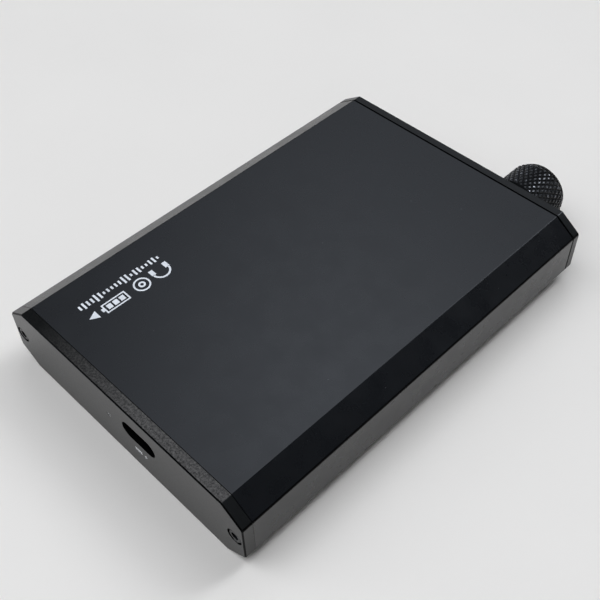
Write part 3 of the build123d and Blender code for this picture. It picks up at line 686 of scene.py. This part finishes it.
def sound_bars():
    """A row of upright strokes of rising and falling height, like a drawn sound wave."""
    pitch, width, tallest = 0.92, 0.42, 2.2
    strokes = []
    for i in range(21):
        swing = abs(math.sin(0.9 * i) * math.cos(0.35 * i + 0.4))
        half = tallest / 2 * (0.3 + 0.7 * swing)
        strokes.append(bar(i * pitch, tallest / 2 - half, i * pitch + width, tallest / 2 + half))
    return strokes


def headphones(left):
    middle = (left + 2.1, 1.5)
    cups = [bar(left, 0.1, left + 0.95, 1.6), bar(left + 3.25, 0.1, left + 4.2, 1.6)]
    return [arc(middle, 2.0, 1.6, 0, 180)] + cups


def disc(left):
    middle = (left + 2.1, 1.75)
    return ring(middle, 1.75, 1.4) + ring(middle, 0.75, 0.35)


def battery_mark(left):
    case = [bar(left, 0.5, left + 5.4, 0.8), bar(left, 2.7, left + 5.4, 3.0),
            bar(left, 0.8, left + 0.3, 2.7), bar(left + 5.1, 0.8, left + 5.4, 2.7)]
    cells = [bar(left + 0.7 + 1.45 * i, 1.15, left + 1.75 + 1.45 * i, 2.35) for i in range(3)]
    return case + cells + [bar(left + 5.4, 1.3, left + 5.9, 2.2)]


def triangle(left, low, high, width):
    """Points to the right, or to the left where width is negative."""
    tip = (left + width, (low + high) / 2)
    return [(left, low), tip, (left, high)] if width > 0 else [(left, high), tip, (left, low)]


def back_marks():
    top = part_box("sleeve")[1].z
    along, up = (0, -1, 0), (1, 0, 0)
    add_mark("back_sound_bars", sound_bars(), (-22.2 * MM, -19.1 * MM, top), along, up, "case")
    row = headphones(0.0) + disc(4.8) + battery_mark(10.4) + [triangle(17.3, 0.7, 2.8, 1.9)]
    add_mark("back_symbols", row, (-19.4 * MM, -18.9 * MM, top), along, up, "case")


def port_marks():
    """Below the charging port: the sign for direct current, and a bolt."""
    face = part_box("usb_end_plate")[0].y
    dashes = [bar(0.7 * i, 0.12, 0.7 * i + 0.5, 0.38) for i in range(3)]
    line = bar(0, 0.6, 1.9, 0.86)
    bolt = [(2.5, 0.42), (2.9, 0.42), (2.7, -0.05), (3.4, 0.58), (3.0, 0.58), (3.2, 1.05)]
    origin = (4.0 * MM, face, 4.95 * MM)
    add_mark("port_marks", [line, *dashes, bolt], origin, (1, 0, 0), (0, 0, 1), "case")


def button_marks():
    """Signs on the front buttons, drawn as seen with the knob end up."""
    skip = [triangle(-1.5, -0.8, 0.8, 1.4), triangle(-0.1, -0.8, 0.8, 1.4), bar(1.35, -0.8, 1.65, 0.8)]
    signs = {
        "play": [triangle(-1.9, -1.2, 1.2, 2.1), bar(0.6, -1.2, 1.1, 1.2), bar(1.6, -1.2, 2.1, 1.2)],
        "next": skip,
        "previous": [[(-u, v) for u, v in reversed(outline)] for outline in skip],
        "menu": [bar(-0.8, level - 0.1, 0.8, level + 0.1) for level in (-0.5, 0.0, 0.5)],
        "back": [triangle(-0.2, -0.6, 0.6, -0.8), bar(-0.2, -0.12, 0.9, 0.12)],
    }
    for body, sign in signs.items():
        low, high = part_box(f"{body}_button")
        origin = ((low.x + high.x) / 2, (low.y + high.y) / 2, low.z)
        add_mark(f"{body}_sign", sign, origin, (-1, 0, 0), (0, 1, 0), body)


def power_mark():
    low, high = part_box("power_button")
    origin = (low.x, (low.y + high.y) / 2, (low.z + high.z) / 2)
    sign = [arc((0, 0), 0.75, 0.55, 120, 420), bar(-0.1, 0.2, 0.1, 0.95)]
    add_mark("power_sign", sign, origin, (0, -1, 0), (0, 0, 1), "power")


def knob_mark(knob):
    """A short white line on the knob's end, towards the back face."""
    origin = (knob.middle.x, knob.high.y - knob_dish * MM, knob.middle.z)
    add_mark("knob_index", [bar(-0.2, 2.2, 0.2, 4.7)], origin, (-1, 0, 0), (0, 0, 1), "volume_control")


# ---------------------------------------------------------------- stage: camera, world, floor
def make_camera():
    data = bpy.data.cameras.new("camera")
    data.sensor_width = 36.0
    data.lens = camera_lens
    data.clip_start = 1 * MM
    camera = bpy.data.objects.new("camera", data)
    bpy.context.scene.collection.objects.link(camera)
    flat = math.cos(camera_elevation)
    back = Vector((math.sin(camera_azimuth) * flat, -math.cos(camera_azimuth) * flat,
                   math.sin(camera_elevation)))
    level = Vector((math.cos(camera_azimuth), math.sin(camera_azimuth), 0))
    right = Matrix.Rotation(camera_roll, 3, back) @ level
    up = back.cross(right)
    place = camera_aim + back * camera_distance
    camera.matrix_world = Matrix.Translation(place) @ Matrix((right, up, back)).transposed().to_4x4()
    bpy.context.scene.camera = camera


def make_world():
    """A dark studio with soft lights, each a bright patch of sky that fades out at its edge.

    The camera sees a plain pale backdrop in place of the lights.
    """
    world = bpy.data.worlds.new("studio")
    bpy.context.scene.world = world
    graph = Graph(world)
    direction = graph.add("ShaderNodeTexCoord").outputs["Generated"]
    towards = graph.axes(direction)
    total = fill
    for across, along, strength in soft_lights.values():
        patch = graph.times(graph.patch(towards["X"], *across), graph.patch(towards["Y"], *along))
        total = graph.math("MULTIPLY_ADD", patch, strength, total)
    seen = graph.add("ShaderNodeLightPath").outputs["Is Camera Ray"]
    colour = graph.blend(seen, graph.scaled(daylight, total), backdrop)
    sky = graph.add("ShaderNodeBackground", {"Color": colour})
    graph.add("ShaderNodeOutputWorld", {"Surface": sky.outputs[0]})


def make_floor():
    half = floor_width / 2
    corners = [(-half, -half, 0), (half, -half, 0), (half, half, 0), (-half, half, 0)]
    data = bpy.data.meshes.new("floor")
    data.from_pydata(corners, [], [(0, 1, 2, 3)])
    floor = bpy.data.objects.new("floor", data)
    floor.location.z = -floor_gap * MM
    bpy.context.scene.collection.objects.link(floor)
    material, graph = new_material("table_top")
    grain = graph.noise(2.0, 3.0)
    colour = graph.mottled((0.89, 0.825, 0.735), 0.01, 40.0)
    graph.surface(colour, graph.vary(grain, 0.5, 0.6), grain, 0.002, Specular_IOR_Level=0.3)
    data.materials.append(material)


finishes = all_finishes()
assign_finishes(finishes)
knob_mark(knurled_knob())
back_marks()
port_marks()
button_marks()
power_mark()
make_camera()
make_world()
make_floor()
bpy.context.scene.view_settings.view_transform = "Standard"
